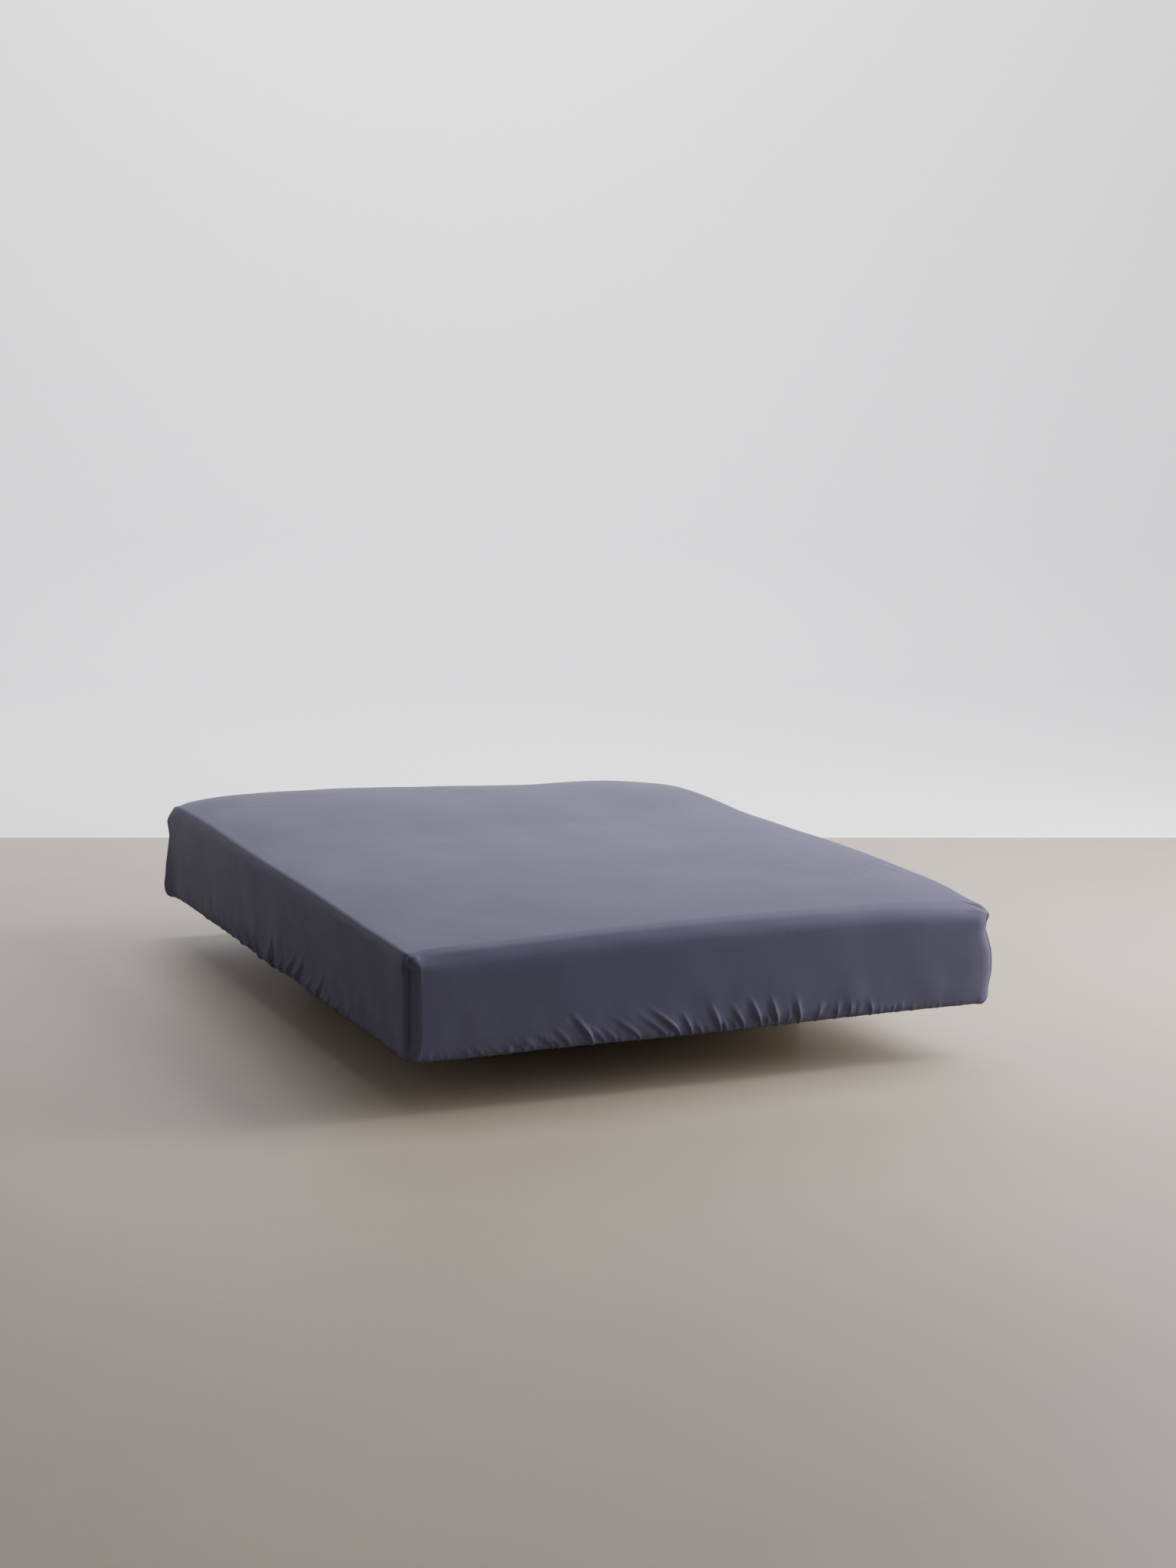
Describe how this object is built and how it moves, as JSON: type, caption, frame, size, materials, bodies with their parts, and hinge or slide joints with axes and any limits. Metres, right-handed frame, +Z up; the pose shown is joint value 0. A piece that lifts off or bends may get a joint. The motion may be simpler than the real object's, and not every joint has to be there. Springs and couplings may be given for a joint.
{
  "type": "fitted sheet on a mattress and low plinth",
  "caption": "Dark slate-blue sateen fitted sheet pulled taut over a double mattress, its elastic hem gathered underneath, on a plain set-back plinth.",
  "frame": {"origin": "on the floor under the middle of the bed", "axes": "+X along the short front end towards its right, +Y from the front end to the back end, +Z up"},
  "size_m": [1.4152, 2.0156, 0.3938],
  "materials": {
    "sateen": "satin woven cotton, slate blue-grey",
    "ticking": "matte woven ticking, off-white",
    "stained_wood": "dark stained, satin"
  },
  "bodies": {
    "root": {"fitted_sheet": "sateen", "mattress": "ticking", "plinth": "stained_wood"}
  },
  "joints": []
}
